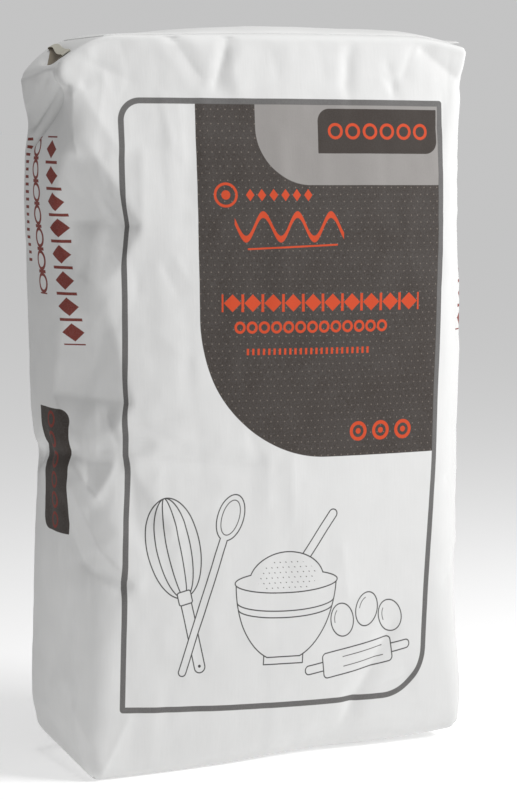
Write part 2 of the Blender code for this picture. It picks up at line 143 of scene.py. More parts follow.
# Sharp creases of the paper on the tube of the four walls: where each starts and ends, its rise and
# its widths. The first number of a place is the way round the sack from the middle of the front,
# positive to the right, and the second is the height. A positive rise is a ridge and a negative one
# a valley. The widths are those of its shoulders, to the left and to the right of the way from
# start to end.
CREASES = (
    ((-0.289, 0.566), (-0.211, 0.610), -0.0054, (0.011, 0.014)),
    ((-0.216, 0.612), (-0.192, 0.602), 0.0033, (0.013, 0.004)),
    ((-0.190, 0.545), (-0.198, 0.602), 0.0045, (0.008, 0.013)),
    ((-0.188, 0.600), (-0.150, 0.545), 0.0024, (0.022, 0.010)),
    ((-0.135, 0.470), (-0.131, 0.552), 0.0014, (0.007, 0.014)),
    ((-0.187, 0.505), (-0.166, 0.486), 0.0011, (0.005, 0.003)),
    ((-0.176, 0.511), (-0.155, 0.488), -0.0011, (0.004, 0.005)),
    ((-0.163, 0.512), (-0.141, 0.491), 0.0010, (0.005, 0.004)),
    ((-0.180, 0.470), (-0.150, 0.462), -0.0010, (0.005, 0.004)),
    ((-0.114, 0.447), (-0.102, 0.426), -0.0011, (0.005, 0.004)),
    ((-0.103, 0.454), (-0.093, 0.438), 0.0009, (0.004, 0.005)),
    ((-0.122, 0.392), (-0.098, 0.370), 0.0008, (0.010, 0.006)),
    ((-0.150, 0.312), (-0.104, 0.318), -0.0013, (0.006, 0.005)),
    ((-0.140, 0.300), (-0.100, 0.298), 0.0012, (0.006, 0.004)),
    ((-0.128, 0.306), (-0.096, 0.290), -0.0011, (0.005, 0.005)),
    ((-0.168, 0.322), (-0.157, 0.297), -0.0021, (0.004, 0.008)),
    ((-0.150, 0.294), (-0.128, 0.292), -0.0015, (0.007, 0.004)),
    ((-0.197, 0.281), (-0.154, 0.277), -0.0033, (0.010, 0.004)),
    ((-0.198, 0.279), (-0.176, 0.250), 0.0033, (0.005, 0.012)),
    ((-0.176, 0.250), (-0.160, 0.279), 0.0030, (0.008, 0.006)),
    ((-0.150, 0.282), (-0.108, 0.214), 0.0030, (0.030, 0.012)),
    ((-0.202, 0.264), (-0.175, 0.204), 0.0033, (0.014, 0.008)),
    ((-0.175, 0.204), (-0.142, 0.170), 0.0030, (0.014, 0.007)),
    ((-0.216, 0.246), (-0.190, 0.190), -0.0027, (0.008, 0.012)),
    ((-0.190, 0.190), (-0.155, 0.168), -0.0027, (0.007, 0.012)),
    ((-0.300, 0.266), (-0.236, 0.296), -0.0054, (0.014, 0.010)),
    ((-0.176, 0.006), (-0.150, 0.058), 0.0024, (0.012, 0.010)),
    ((-0.203, 0.062), (-0.186, 0.036), 0.0015, (0.006, 0.008)),
    ((-0.104, 0.650), (-0.066, 0.602), 0.0033, (0.024, 0.009)),
    ((-0.040, 0.598), (-0.046, 0.650), 0.0027, (0.011, 0.022)),
    ((-0.004, 0.636), (0.000, 0.616), -0.0010, (0.006, 0.006)),
    ((0.068, 0.634), (0.072, 0.590), -0.0012, (0.008, 0.010)),
    ((0.112, 0.622), (0.120, 0.600), -0.0018, (0.007, 0.006)),
    ((-0.113, 0.598), (-0.103, 0.552), 0.0012, (0.008, 0.005)),
    ((-0.096, 0.590), (-0.094, 0.540), 0.0009, (0.007, 0.006)),
    ((-0.035, 0.300), (-0.026, 0.278), -0.0010, (0.006, 0.006)),
    ((-0.017, 0.278), (-0.018, 0.236), 0.0012, (0.007, 0.007)),
    ((0.006, 0.280), (0.007, 0.218), 0.0010, (0.006, 0.008)),
    ((0.057, 0.192), (0.063, 0.146), 0.0014, (0.007, 0.009)),
    ((0.143, 0.648), (0.127, 0.612), -0.0018, (0.006, 0.007)),
    ((0.146, 0.640), (0.197, 0.604), -0.0039, (0.012, 0.012)),
    ((0.061, 0.049), (0.132, 0.068), -0.0021, (0.012, 0.012)),
    ((0.178, 0.430), (0.196, 0.372), -0.0027, (0.010, 0.010)),
    ((0.172, 0.246), (0.198, 0.214), -0.0024, (0.009, 0.009)),
    ((0.170, 0.150), (0.200, 0.170), -0.0027, (0.010, 0.010)),
)

# Flat-sided hollows and bumps: a corner of folded paper whose sides run straight to the deepest
# place, whose height over the paper around is the rise
FACETS = (
    {"corners": ((-0.252, 0.160), (-0.200, 0.170), (-0.196, 0.078), (-0.262, 0.072)),
     "peak": (-0.222, 0.120), "rise": -0.0030},
    {"corners": ((-0.150, 0.300), (-0.108, 0.216), (-0.128, 0.186), (-0.166, 0.230)),
     "peak": (-0.142, 0.228), "rise": -0.0030},
    {"corners": ((0.104, 0.616), (0.124, 0.612), (0.118, 0.588)),
     "peak": (0.115, 0.604), "rise": -0.0018},
)


def through(stations, share):
    """Smooth curve through (share, value) stations, with level ends."""
    places = np.array([place for place, _ in stations])
    values = np.array([value for _, value in stations])
    slopes = np.zeros(len(values))
    slopes[1:-1] = (values[2:] - values[:-2]) / (places[2:] - places[:-2])
    share = np.clip(share, 0.0, 1.0)
    index = np.clip(np.searchsorted(places, share, side="right") - 1, 0, len(places) - 2)
    span = places[index + 1] - places[index]
    step = (share - places[index]) / span
    rise = 3.0 * step ** 2 - 2.0 * step ** 3
    start_pull = step * (1.0 - step) ** 2 * span
    end_pull = -(1.0 - step) * step ** 2 * span
    level = values[index] * (1.0 - rise) + values[index + 1] * rise
    return level + slopes[index] * start_pull + slopes[index + 1] * end_pull


def ease(share):
    """0 to 1 with level ends."""
    share = np.clip(share, 0.0, 1.0)
    return share * share * (3.0 - 2.0 * share)


def turn(distance, soft):
    """How far paper near an edge falls inwards, so that the edge is a soft turn."""
    return np.maximum(soft - distance, 0.0) ** 2 / (4.0 * soft)


def valley_depth(valleys, along, up):
    """Depth of straight folds with tapered ends."""
    depth = np.zeros_like(along)
    for start, end, deepest, half_width in valleys:
        line = np.array(end) - np.array(start)
        length = np.hypot(*line)
        line = line / length
        offset_along = (along - start[0]) * line[0] + (up - start[1]) * line[1]
        offset_across = (up - start[1]) * line[0] - (along - start[0]) * line[1]
        from_even = np.maximum(np.abs(offset_along / length - 0.5) - VALLEY_TAPER[0], 0.0)
        taper = ease(1.0 - from_even / VALLEY_TAPER[1])
        across = np.clip(1.0 - np.abs(offset_across) / half_width, 0.0, 1.0)
        depth += deepest * taper * across ** VALLEY_POWER
    return depth


def dent_depth(dents, along, up):
    """Depth of round dents."""
    depth = np.zeros_like(along)
    for centre, radii, deepest in dents:
        spread = ((along - centre[0]) / radii[0]) ** 2 + ((up - centre[1]) / radii[1]) ** 2
        depth += deepest * np.exp(-spread)
    return depth


def corner_run(distance, run, power):
    """1 at a corner, falling to exactly 0 at the run's length from it."""
    return np.clip(1.0 - distance / run, 0.0, 1.0) ** power


def corner_move(corner, distance, to_back):
    """How far a corner is moved, from its own values at the front and the back."""
    (front_far, front_run, front_power), (back_far, back_run, back_power) = corner
    return (front_far * (1.0 - to_back) * corner_run(distance, front_run, front_power)
            + back_far * to_back * corner_run(distance, back_run, back_power))


def pressed(x, y, z):
    """Move what stands out of a notch's flats in onto them."""
    points = np.stack([x, y, z], axis=-1)
    for notch in NOTCHES:
        tip = np.array(notch["tip"])
        valley = np.array(notch["valley"])
        azimuth = np.radians(notch["from"])
        outward = np.array([np.sin(azimuth), -np.cos(azimuth), 0.0])
        depths = []
        for end in (notch["top"], notch["foot"]):
            normal = np.cross(valley - tip, np.array(end) - tip)
            depths.append((points - tip) @ normal / (outward @ normal))
        depth = np.minimum(*depths)
        depth = np.where(depth < NOTCH_SOFT, np.maximum(depth, 0.0) ** 2 / (2.0 * NOTCH_SOFT),
                         depth - NOTCH_SOFT / 2.0)
        points = points - depth[..., None] * outward
    return points[..., 0], points[..., 1], points[..., 2]


def sack_surface(across, deep, high, folded=True):
    """Place points of the unit cube's skin on the sack.

    across is -1 at the left side and 1 at the right, deep -1 at the front and 1 at the back,
    high -1 at the floor and 1 at the top.
    """
    share = (high + 1.0) / 2.0
    left = through(LEFT_REACH, share)
    right = through(RIGHT_REACH, share)
    front = through(FRONT_REACH, share)
    back = through(BACK_REACH, share)
    reach_x = np.where(across < 0.0, left, right)
    reach_y = np.where(deep < 0.0, front, back)
    x = across * reach_x
    y = deep * reach_y
    z = share * HEIGHT

    # Fold edges: upright corners, and the rims of the top and the bottom
    from_side = reach_x * (1.0 - np.abs(across))
    from_face = reach_y * (1.0 - np.abs(deep))
    from_end = 0.5 * HEIGHT * (1.0 - np.abs(high))
    upright = turn(from_side + from_face, through(CORNER_SOFT, share))
    bottom_soft = np.where(deep < 0.0, through(FRONT_BOTTOM_SOFT, (across + 1.0) / 2.0),
                           BACK_BOTTOM_SOFT)
    rim_soft = np.where(high > 0.0, TOP_RIM_SOFT, bottom_soft)
    side_rim = turn(from_side + from_end, np.where(high > 0.0, TOP_RIM_SOFT, SIDE_BOTTOM_SOFT))
    face_rim = turn(from_face + from_end, rim_soft)
    x = x - np.sign(across) * (upright + side_rim)
    y = y - np.sign(deep) * (upright + face_rim)
    z = z - np.sign(high) * (side_rim + face_rim)

    # Fullness between the edges, and the roll of the front's left part
    middle = 1.0 - np.abs(high) ** FULL_POWER
    full = FRONT_FULL * (FULL_AT_ENDS + (1.0 - FULL_AT_ENDS) * middle) * (1.0 - across ** 2)
    rolled = np.clip((x - ROLL_SPAN[0]) / (ROLL_SPAN[1] - ROLL_SPAN[0]), 0.0, 1.0) ** ROLL_POWER
    roll = ROLL_DEPTH * rolled * through(ROLL_SHARE, share) * np.clip(-deep, 0.0, 1.0)
    y = y + deep * full + roll
    x = x + across * SIDE_FULL * middle * (1.0 - deep ** 2)

    # Folds and dents
    is_face = np.abs(deep) >= 1.0 - 1e-6
    is_side = np.abs(across) >= 1.0 - 1e-6
    if folded:
        folds = np.where(deep < 0.0,
                         valley_depth(FRONT_VALLEYS, x, z) + dent_depth(FRONT_DENTS, x, z),
                         valley_depth(BACK_VALLEYS, x, z) + dent_depth(BACK_DENTS, x, z))
        side_folds = np.where(across < 0.0,
                              valley_depth(LEFT_VALLEYS, y, z) + dent_depth(LEFT_DENTS, y, z),
                              valley_depth(RIGHT_VALLEYS, y, z) + dent_depth(RIGHT_DENTS, y, z))
        at_rim = ease((1.0 - np.abs(high)) / RIM_FADE)
        folds = folds * np.maximum(at_rim, RIM_KEPT) * ease(from_side / CORNER_FADE)
        side_folds = side_folds * at_rim * ease(from_face / CORNER_FADE)
        y = y - np.where(is_face, np.sign(deep) * folds, 0.0)
        x = x - np.where(is_side, np.sign(across) * side_folds, 0.0)

    # Domed top, flared lip, dropped top corners and lifted bottom corners
    dome = through(DOME_RISE, (across + 1.0) / 2.0) * (1.0 - deep ** 2)
    z = z + np.where((high > 0.0) & ~is_face & ~is_side, dome, 0.0)
    to_back = (deep + 1.0) / 2.0
    flare = LIP_FLARE[0] * (1.0 - to_back) * ease((share - 1.0 + LIP_FLARE[1]) / LIP_FLARE[1])
    x = x - flare * np.clip(-across, 0.0, 1.0) ** LIP_FLARE[2]
    from_left = reach_x * (1.0 + across)
    from_right = reach_x * (1.0 - across)
    drop = (corner_move(LEFT_DROP, from_left, to_back)
            + corner_move(RIGHT_DROP, from_right, to_back))
    z = z - drop * ease((share - 1.0 + DROP_REACH) / DROP_REACH)
    lift = (corner_move(LEFT_LIFT, from_left, to_back)
            + corner_move(RIGHT_LIFT, from_right, to_back))
    z = z + lift * ease((LIFT_REACH - share) / LIFT_REACH)
    if folded:
        x, y, z = pressed(x, y, z)
    return x + CENTRE[0], y + CENTRE[1], z


# Relief of creased paper

NOISE_CELLS = 64
CREASE_EVEN = 0.40          # even part of a crease each way from its middle, as a share of it
CREASE_FADE = 0.008         # how softly it runs out past that
FOLD_ROUND = 0.52           # how far round the sack the random folds lie, either way
FOLD_FOOT = 0.01            # lowest place of a random fold
FOLD_THIN = (0.18, 0.35)    # its shoulders' width, as a share of half its length
FOLD_RISE = (0.3, 1.0)      # its rise, as a share of the steepest
FOLD_NEAR = 2.5             # half lengths from it beyond which it no longer counts
WIDE_FOLDS = {"seed": 11, "count": 80, "reach": (0.030, 0.070), "steepness": 0.17, "sway": 0.9}
FINE_FOLDS = {"seed": 12, "count": 560, "reach": (0.008, 0.026), "steepness": 0.26, "sway": 0.8}
CORNER_WAY = 0.20           # way round from the front's middle to its corners
SLACK = (0.45, 0.55, 0.06)  # looseness of the paper: all over, more at those corners, how near
SLACK_CLOUDS = (0.8, 0.5, 0.11, 0.13, 3)    # mean, swing, width and height of the cells, seed
TAUT_FROM = (-0.10, 0.20)   # way round at which the front starts to be taut, and how softly
TAUT_BELOW = (0.52, 0.20)   # height below which it is taut, and how softly
TAUT_SHARE = 0.65

# Ripples of the paper: height of the relief, width and height of the cells, and seed
RIPPLES = (
    (0.00034, 0.0105, 0.060, 21),
    (0.00060, 0.022, 0.090, 22),
    (0.00030, 0.0120, 0.014, 23),
)


def soft_noise(along, up, seed):
    """Smooth noise from -1 to 1 with cells one unit wide."""
    table = np.random.default_rng(seed).uniform(-1.0, 1.0, (NOISE_CELLS, NOISE_CELLS))
    column = np.floor(along).astype(int)
    row = np.floor(up).astype(int)
    blend_x = ease(along - column)
    blend_y = ease(up - row)
    value = np.zeros_like(along)
    for step_x in (0, 1):
        for step_y in (0, 1):
            weight = np.where(step_x, blend_x, 1.0 - blend_x) * np.where(step_y, blend_y,
                                                                         1.0 - blend_y)
            value += weight * table[(column + step_x) % NOISE_CELLS, (row + step_y) % NOISE_CELLS]
    return value


def wrapped(distance, around):
    """Distance the shorter way round the sack."""
    return (distance + around / 2.0) % around - around / 2.0


def crease_relief(round_sack, up, around):
    """The named creases: sharp lines whose shoulders ease out into flat paper."""
    relief = np.zeros_like(round_sack)
    for start, end, rise, widths in CREASES:
        line = np.array(end) - np.array(start)
        length = np.hypot(*line)
        line = line / length
        offset = wrapped(round_sack - start[0], around)
        along = (offset * line[0] + (up - start[1]) * line[1]) / length
        across = (up - start[1]) * line[0] - offset * line[1]
        beyond = np.maximum(np.abs(along - 0.5) - CREASE_EVEN, 0.0) * length
        width = np.where(across > 0.0, *widths)
        relief += rise * np.exp(-(beyond / CREASE_FADE) ** 2 - np.abs(across) / width)
    return relief


def facet_relief(round_sack, up):
    """The named hollows, each a pyramid on a polygon of paper."""
    relief = np.zeros_like(round_sack)
    for facet in FACETS:
        corners = np.array(facet["corners"])
        share = np.ones_like(round_sack)
        for start, end in zip(corners, np.roll(corners, -1, axis=0)):
            line = end - start
            inside = line[1] * (round_sack - start[0]) - line[0] * (up - start[1])
            deepest = (line[1] * (facet["peak"][0] - start[0])
                       - line[0] * (facet["peak"][1] - start[1]))
            share = np.minimum(share, inside / deepest)
        relief += facet["rise"] * np.maximum(share, 0.0)
    return relief


def random_folds(round_sack, up, around, seed, count, reach, steepness, sway):
    """Short sharp folds at random places: tents that ease out to each side."""
    draw = np.random.default_rng(seed)
    relief = np.zeros_like(round_sack)
    for _ in range(count):
        place = (draw.uniform(-FOLD_ROUND, FOLD_ROUND), draw.uniform(FOLD_FOOT, HEIGHT))
        half = draw.uniform(*reach)
        angle = math.pi / 2.0 + draw.normal(0.0, sway)
        thin = half * draw.uniform(*FOLD_THIN)
        rise = steepness * thin * draw.uniform(*FOLD_RISE) * draw.choice((-1.0, 1.0))
        offset = wrapped(round_sack - place[0], around)
        height = up - place[1]
        near = (np.abs(offset) < FOLD_NEAR * half) & (np.abs(height) < FOLD_NEAR * half)
        offset = offset[near]
        height = height[near]
        along = offset * math.cos(angle) + height * math.sin(angle)
        across = height * math.cos(angle) - offset * math.sin(angle)
        relief[near] += rise * np.exp(-(along / half) ** 2 - np.abs(across) / thin)
    return relief


def wall_relief(round_sack, up, around):
    """Height of the wall's paper over the frame's form."""
    way = wrapped(round_sack, around)
    from_corner = np.abs(np.abs(way) - CORNER_WAY)
    loose = SLACK[0] + SLACK[1] * np.exp(-(from_corner / SLACK[2]) ** 2)
    mean, swing, wide, tall, seed = SLACK_CLOUDS
    loose = loose * (mean + swing * soft_noise(round_sack / wide, up / tall, seed))
    folds = (random_folds(round_sack, up, around, **WIDE_FOLDS)
             + random_folds(round_sack, up, around, **FINE_FOLDS))
    taut = ease((way - TAUT_FROM[0]) / TAUT_FROM[1]) * ease((TAUT_BELOW[0] - up) / TAUT_BELOW[1])
    taut = taut * (way < CORNER_WAY)
    ripples = np.zeros_like(way)
    for height, wide, tall, seed in RIPPLES:
        ripples += height * soft_noise(round_sack / wide, up / tall, seed)
    relief = crease_relief(round_sack, up, around) + facet_relief(way, up)
    return relief + (1.0 - TAUT_SHARE * taut) * (loose * folds + ripples)


# The sack's mesh

PANELS = ("front", "back", "left", "right", "top", "bottom")
SACK_TIGHT = (0.35, 0.30, 0.30)     # how much closer the cells lie near the sack's edges
RELIEF_RIM = 0.010          # how near the top and the foot the relief fades out

# Place of the print on the front: the paper was printed a little askew, and its foot sags
PRINT_MIDDLE = HEIGHT / 2.0
PRINT_SHIFT = -0.0012
PRINT_LEAN = (-0.040, 0.027, 0.069)
PRINT_SPREAD = (-0.093, 0.069)
PRINT_TILT = (0.0008, 0.029, -0.070)
PRINT_SAG = (-0.043, 0.33)

# How far the print is drawn to the right at each height, where the share of it is 1
PRINT_BEND = ((0.0, 0.0018), (0.08, 0.0024), (0.14, 0.0030), (0.20, 0.0031), (0.27, 0.0044),
              (0.33, 0.0014), (0.37, 0.0016), (0.42, 0.0006), (0.49, -0.0012), (0.66, -0.0012))
BEND_SHARE = (0.68, -2.1)   # share of it at the print's middle, and its change across
TOP_DROP = (0.0036, 0.43, 0.59)     # how far the print's top hangs down, from and to which height
DROP_SHARE = (0.62, -2.2)   # share of that at the print's middle, and its change across
BACK_LEAN = 0.012
SIDE_LEAN = 0.13
SIDE_TOP = 0.561            # height at which the side's rows of print start


def cuts(count, tightness):
    """Places from -1 to 1, closer together near the ends."""
    even = np.linspace(-1.0, 1.0, count + 1)
    return (1.0 - tightness) * even + tightness * np.sin(even * np.pi / 2.0)


def skin_lattice(cells):
    """Numbers of the lattice points on the skin of a block of cells, and -1 within it."""
    steps = np.indices([count + 1 for count in cells])
    skin = np.zeros(steps[0].shape, dtype=bool)
    for axis, count in zip(steps, cells):
        skin |= (axis == 0) | (axis == count)
    number = np.full(skin.shape, -1)
    number[skin] = np.arange(skin.sum())
    return number, [axis[skin] for axis in steps]


def lengths(points, axis):
    """Running length along one axis of a grid of points."""
    steps = np.linalg.norm(np.diff(points, axis=axis), axis=-1)
    start = np.zeros_like(np.take(steps, [0], axis=axis))
    return np.concatenate([start, np.cumsum(steps, axis=axis)], axis=axis)


def wall_ring(cells):
    """Lattice steps once round the walls, from the front's left edge to the right."""
    wide, deep, _ = cells
    ring = [(i, 0) for i in range(wide)]
    ring += [(wide, j) for j in range(deep)]
    ring += [(i, deep) for i in range(wide, 0, -1)]
    ring += [(0, j) for j in range(deep, 0, -1)]
    return np.array(ring)


def panel_grid(number, panel):
    """The lattice points of one panel, in an order whose quads face outwards."""
    grids = {"front": number[:, 0, :], "back": number[::-1, -1, :],
             "left": number[0, ::-1, :], "right": number[-1, :, :],
             "top": number[:, :, -1], "bottom": number[::-1, :, 0]}
    return grids[panel]


def quads_of(grid):
    """The quads between the numbered points of a grid."""
    quads = np.stack([grid[:-1, :-1], grid[1:, :-1], grid[1:, 1:], grid[:-1, 1:]], axis=-1)
    return quads.reshape(-1, 4)


def front_print(along, up):
    """Place on the front's print, from the place on its paper."""
    bend = through(PRINT_BEND, up) * (BEND_SHARE[0] + BEND_SHARE[1] * along)
    drop = TOP_DROP[0] * ease((up - TOP_DROP[1]) / (TOP_DROP[2] - TOP_DROP[1]))
    drop = drop * (DROP_SHARE[0] + DROP_SHARE[1] * along)
    up = up - PRINT_MIDDLE
    lean = PRINT_LEAN[0] + up * (PRINT_LEAN[1] + up * PRINT_LEAN[2])
    across = along - bend + PRINT_SHIFT + up * lean
    across += along * up * (PRINT_SPREAD[0] + up * PRINT_SPREAD[1])
    high = up + drop + PRINT_TILT[0] + along * (PRINT_TILT[1] + along * PRINT_TILT[2])
    high += along * up * (PRINT_SAG[0] + along * PRINT_SAG[1])
    return across, high


def panel_print(panel, along, up):
    """Place on a wall's print, from the place on its paper."""
    if panel == "front":
        return front_print(along, up)
    if panel == "back":
        height = up - PRINT_MIDDLE
        return along + BACK_LEAN * height, height
    side = -1.0 if panel == "left" else 1.0
    return along * side + SIDE_LEAN * (SIDE_TOP - up), up


def make_sack_mesh():
    """Points, quads, print places of the quads' corners and owning panels of the fine skin."""
    wide, deep, _ = SACK_CELLS
    cut_places = [cuts(count, tight) for count, tight in zip(SACK_CELLS, SACK_TIGHT)]
    number, steps = skin_lattice(SACK_CELLS)
    unit = [places[step] for places, step in zip(cut_places, steps)]
    points = np.stack(sack_surface(*unit), axis=-1)
    smooth = np.stack(sack_surface(*unit, folded=False), axis=-1)

    ring = wall_ring(SACK_CELLS)
    walls = number[ring[:, 0], ring[:, 1], :]
    closed = np.concatenate([smooth[walls], smooth[walls[:1]]], axis=0)
    run = lengths(closed, 0)
    around = run[-1]
    middles = {"front": wide // 2, "right": wide + deep // 2, "back": wide + deep + wide // 2,
               "left": 2 * wide + deep + deep // 2}
    run = run[:-1] - run[middles["front"]]
    up = lengths(smooth[walls], 1)
    up = up - up[:, [SACK_CELLS[2] // 2]] + HEIGHT / 2.0

    base = points[walls]
    ahead = np.roll(base, -1, axis=0) - np.roll(base, 1, axis=0)
    outward = np.cross(ahead, np.gradient(base, axis=1))
    outward = outward / np.linalg.norm(outward, axis=-1, keepdims=True)
    relief = wall_relief(wrapped(run, around), up, np.broadcast_to(around, run.shape))
    from_rim = HEIGHT / 2.0 * (1.0 - np.abs(cut_places[2]))[None, :]
    relief = relief * ease(from_rim / RELIEF_RIM)
    points[walls] = base + outward * relief[..., None]
    on_top = (unit[2] == 1.0) & (np.abs(unit[1]) < 1.0) & (np.abs(unit[0]) < 1.0)
    points[:, 2] -= np.where(on_top, mouth_hollow(unit[0], unit[1]), 0.0)
    points[:, 2] = np.maximum(points[:, 2], 0.0)

    faces = []
    prints = []
    owners = []
    for panel in PANELS:
        place = points[:, :2]
        if panel in middles:
            along = wrapped(run - run[middles[panel]], around)
            place = np.zeros((len(points), 2))
            place[walls] = np.stack(panel_print(panel, along, up), axis=-1)
        quads = quads_of(panel_grid(number, panel))
        faces.append(quads)
        prints.append(place[quads])
        owners += [panel] * len(quads)
    return points, np.concatenate(faces), np.concatenate(prints), np.array(owners)


def new_object(name, data):
    """An object in the scene."""
    piece = bpy.data.objects.new(name, data)
    bpy.context.scene.collection.objects.link(piece)
    return piece


def make_sack():
    """The sack, its faces given to plain or printed paper by where they lie."""
    points, faces, prints, owners = make_sack_mesh()
    mesh = bpy.data.meshes.new("sack_paper")
    mesh.from_pydata(points.tolist(), [], faces.tolist())
    mesh.uv_layers.new(name=PRINT_MAP)
    mesh.uv_layers[PRINT_MAP].data.foreach_set("uv", prints.reshape(-1))
    mesh.shade_smooth()
    for material in (paper_material("white_paper"), paper_material("fields_print", print_fields),
                     paper_material("drawing_print", print_drawing),
                     paper_material("side_print", print_side)):
        mesh.materials.append(material)
    height = prints[..., 1].mean(axis=1)
    on_face = (owners == "front") | (owners == "back")
    on_side = (owners == "left") | (owners == "right")
    slots = np.where(on_face, np.where(height > DRAWING_TOP, 1, 2), np.where(on_side, 3, 0))
    mesh.polygons.foreach_set("material_index", slots.astype(np.int32))
    piece = new_object("sack_paper", mesh)
    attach(piece, "root")
    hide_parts("sack")
    return piece


# Pieces on the top

COVER_CELLS = (150, 36)
COVER_THICKNESS = 0.0006
COVER_LIFT = 0.0007         # stand-off from the sack's top, as the frame has it
COVER_PASTED = (0.00010, 0.10)  # stand-off of its pasted edges, and how far in (share of the width)
COVER_CREASES = (0.00025, 0.07, 0.5, 31)    # height, width and depth of the cells, and seed
COVER_CURL = (0.0030, 0.05)     # rise of its right end, and over what share of the width
CURL_SHARE = (0.6, -0.4)    # share of that rise at the middle, and its change to the back
SLEEVE_CELLS = (26, 64)
SLEEVE_THICKNESS = 0.0007
SLEEVE_PLIES = 1.6          # distance between its plies, in thicknesses
SLEEVE_LOWER_EDGE = ((0.0, -0.964), (0.25, -0.976), (0.5, -0.964), (1.0, -0.886))
SLEEVE_UPPER_EDGE = ((0.0, -0.962), (1.0, -0.884))
SLEEVE_INNER_END = ((0.0, -0.932), (1.0, -0.858))
SLEEVE_LIP = (0.0010, 0.0020)   # height of the upper edge over the flat top, front and back
SLEEVE_FOLD = 0.0006        # height of the inner end
SLEEVE_FALL = 1.5           # how fast the lip falls to it
SLEEVE_ROUND = 0.5          # how bluntly the lip falls to the sleeve's two sides

# Hollow of the top inside the valve's mouth: its edge, its deepest place and its far edge, as
# shares of the width and of the depth, and how far it runs inwards on its way to the back
MOUTH_DEPTH = 0.0095
MOUTH_ACROSS = (-0.980, -0.940, -0.880)
MOUTH_DEEP = (-0.84, -0.10, 0.72)
MOUTH_SKEW = 0.035


def between(place, edge, peak, far_edge):
    """1 at the peak, easing to 0 at both edges."""
    return ease(np.where(place < peak, (place - edge) / (peak - edge),
                         (far_edge - place) / (far_edge - peak)))


def mouth_hollow(across, deep):
    """Depth of the valve's mouth in the top of the sack."""
    across = across - MOUTH_SKEW * deep
    return MOUTH_DEPTH * between(across, *MOUTH_ACROSS) * between(deep, *MOUTH_DEEP)


def top_place(across, deep):
    """Places on the sack's top at shares of its width and depth."""
    return np.stack(sack_surface(across, deep, np.ones_like(across)), axis=-1)


def top_normal(across, deep):
    """Outward direction of the sack's top at shares of its width and depth."""
    to_right = top_place(across + NORMAL_STEP, deep) - top_place(across - NORMAL_STEP, deep)
    to_back = top_place(across, deep + NORMAL_STEP) - top_place(across, deep - NORMAL_STEP)
    normal = np.cross(to_right, to_back)
    return normal / np.linalg.norm(normal, axis=-1, keepdims=True)


def grid_mesh(name, places, closed=False):
    """A mesh of quads on a grid of places, closed along its second way if asked."""
    rows, columns = places.shape[:2]
    number = np.arange(rows * columns).reshape(rows, columns)
    if closed:
        number = np.concatenate([number, number[:, :1]], axis=1)
    mesh = bpy.data.meshes.new(name)
    mesh.from_pydata(places.reshape(-1, 3).tolist(), [], quads_of(number).tolist())
    mesh.shade_smooth()
    return mesh


def add_sheet(name, mesh, material, thickness, node):
    """Give a sheet its thickness and hand it to the frame."""
    mesh.materials.append(material)
    piece = new_object(name, mesh)
    solid = piece.modifiers.new("thickness", "SOLIDIFY")
    solid.thickness = thickness
    solid.offset = 0.0
    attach(piece, "root")
    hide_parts(node)
    return piece


def make_top_cover():
    """The sheet pasted over the folds of the top. Its right end has come a little unstuck."""
    across, deep = np.meshgrid(np.linspace(*COVER_SPAN, COVER_CELLS[0] + 1),
                               np.linspace(*COVER_DEPTH, COVER_CELLS[1] + 1), indexing="ij")
    curl = COVER_CURL[0] * ease((across - COVER_SPAN[1] + COVER_CURL[1]) / COVER_CURL[1])
    curl = curl * (CURL_SHARE[0] + CURL_SHARE[1] * deep)
    height, wide, long, seed = COVER_CREASES
    creased = COVER_LIFT + height * (1.0 + soft_noise(across / wide, deep / long, seed))
    from_edge = np.minimum(COVER_DEPTH[1] - np.abs(deep), across - COVER_SPAN[0])
    pasted = ease(from_edge / COVER_PASTED[1])
    lift = COVER_PASTED[0] + (creased - COVER_PASTED[0]) * pasted
    places = top_place(across, deep) + top_normal(across, deep) * (lift + curl)[..., None]
    mesh = grid_mesh("top_cover_paper", places)
    return add_sheet("top_cover_paper", mesh, paper_material("cover_paper"), COVER_THICKNESS,
                     "top_cover")


def make_valve_sleeve():
    """The sleeve of inner paper in the valve: a flat tube whose mouth gapes at the sack's end."""
    inward = np.linspace(0.0, 1.0, SLEEVE_CELLS[0] + 1)
    turn_share = np.linspace(0.0, 1.0, SLEEVE_CELLS[1], endpoint=False)
    inward, turn_share = np.meshgrid(inward, turn_share, indexing="ij")
    is_upper = turn_share >= 0.5
    along = np.where(is_upper, 2.0 - 2.0 * turn_share, 2.0 * turn_share)
    deep = SLEEVE_DEPTH[0] + (SLEEVE_DEPTH[1] - SLEEVE_DEPTH[0]) * along
    edge = np.where(is_upper, through(SLEEVE_UPPER_EDGE, along),
                    through(SLEEVE_LOWER_EDGE, along))
    across = edge + (through(SLEEVE_INNER_END, along) - edge) * inward
    side = np.sin(np.pi * along) ** SLEEVE_ROUND
    lip = SLEEVE_LIP[0] + (SLEEVE_LIP[1] - SLEEVE_LIP[0]) * along
    gape = (SLEEVE_FOLD + (lip - SLEEVE_FOLD) * (1.0 - inward) ** SLEEVE_FALL) * side
    lift = COVER_LIFT + np.where(is_upper, SLEEVE_THICKNESS * SLEEVE_PLIES + gape, 0.0)
    places = top_place(across, deep) + top_normal(across, deep) * lift[..., None]
    places[..., 2] -= np.where(is_upper, 0.0, mouth_hollow(across, deep))
    mesh = grid_mesh("valve_sleeve_paper", places, closed=True)
    # The tube's inside and rims get the brown kraft, darkened as painted shade of the valve's mouth
    mesh.materials.append(sleeve_material("sleeve_inside_brown_and_shade", SLEEVE_BROWN_AND_SHADE))
    piece = add_sheet("valve_sleeve_paper", mesh, sleeve_material("sleeve_paper", SLEEVE_PAPER),
                      SLEEVE_THICKNESS, "valve_sleeve")
    piece.modifiers["thickness"].material_offset = 1
    return piece


# Inks and papers

PRINT_MAP = "print"
INK_EDGE = 0.0004           # width over which an ink's edge fades

